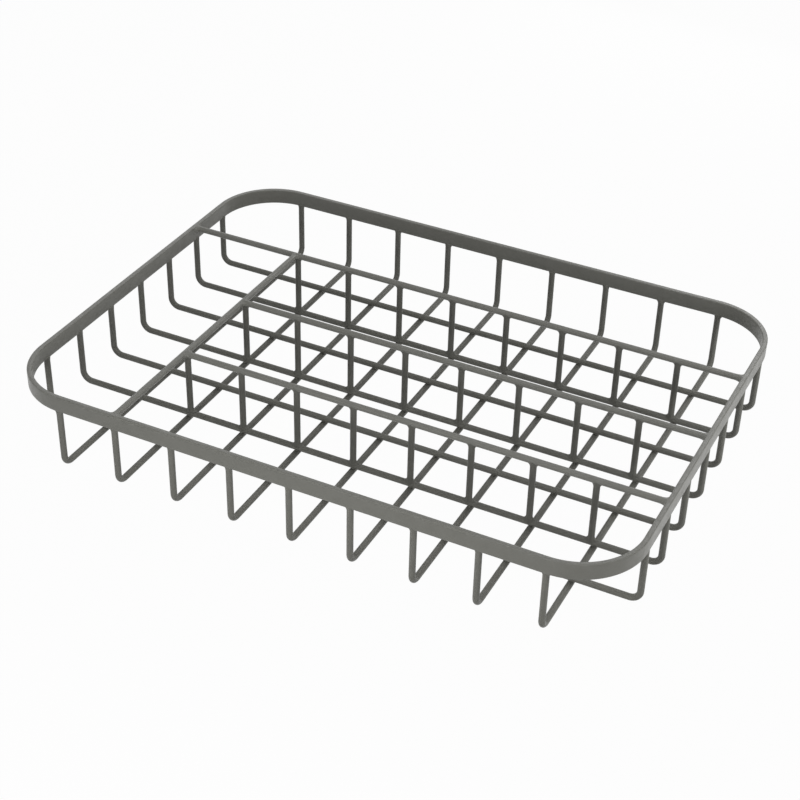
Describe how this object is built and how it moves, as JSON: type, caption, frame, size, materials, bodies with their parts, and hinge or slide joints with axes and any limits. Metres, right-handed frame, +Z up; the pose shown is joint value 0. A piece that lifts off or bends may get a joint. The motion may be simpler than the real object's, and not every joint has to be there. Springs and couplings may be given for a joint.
{
  "type": "cutlery organizer",
  "caption": "Open cutlery tray of welded round wire under a flat strip rim with rounded corners, parted by fixed wire dividers into long and short compartments.",
  "frame": {"origin": "middle of the tray's length and width, on the surface that its cross wires stand on", "axes": "+X along the length, to the right seen from the front; +Y to the back, where the long compartment is; +Z up"},
  "size_m": [0.37, 0.276, 0.0485],
  "materials": {
    "rim_coat": "satin powder coat, warm dark grey, over welded steel",
    "cross_wire_coat": "satin powder coat, warm dark grey, over welded steel",
    "long_wire_coat": "satin powder coat, warm dark grey, over welded steel",
    "divider_rail_coat": "satin powder coat, warm dark grey, over welded steel",
    "post_coat": "satin powder coat, warm dark grey, over welded steel"
  },
  "bodies": {
    "root": {"rim": "rim_coat", "cross_wire_1": "cross_wire_coat", "cross_wire_2": "cross_wire_coat", "cross_wire_3": "cross_wire_coat", "cross_wire_4": "cross_wire_coat", "cross_wire_5": "cross_wire_coat", "cross_wire_6": "cross_wire_coat", "cross_wire_7": "cross_wire_coat", "cross_wire_8": "cross_wire_coat", "cross_wire_9": "cross_wire_coat", "long_wire_1": "long_wire_coat", "long_wire_2": "long_wire_coat", "long_wire_3": "long_wire_coat", "long_wire_4": "long_wire_coat", "long_wire_5": "long_wire_coat", "long_wire_6": "long_wire_coat", "long_wire_7": "long_wire_coat", "divider_rail_back": "divider_rail_coat", "divider_rail_cross": "divider_rail_coat", "divider_rail_middle": "divider_rail_coat", "divider_rail_front": "divider_rail_coat", "post_back_2": "post_coat", "post_back_3": "post_coat", "post_back_4": "post_coat", "post_back_5": "post_coat", "post_back_6": "post_coat", "post_back_7": "post_coat", "post_back_8": "post_coat", "post_back_9": "post_coat", "post_middle_2": "post_coat", "post_middle_3": "post_coat", "post_middle_4": "post_coat", "post_middle_5": "post_coat", "post_middle_6": "post_coat", "post_middle_7": "post_coat", "post_middle_8": "post_coat", "post_middle_9": "post_coat", "post_front_2": "post_coat", "post_front_3": "post_coat", "post_front_4": "post_coat", "post_front_5": "post_coat", "post_front_6": "post_coat", "post_front_7": "post_coat", "post_front_8": "post_coat", "post_front_9": "post_coat"}
  },
  "joints": []
}
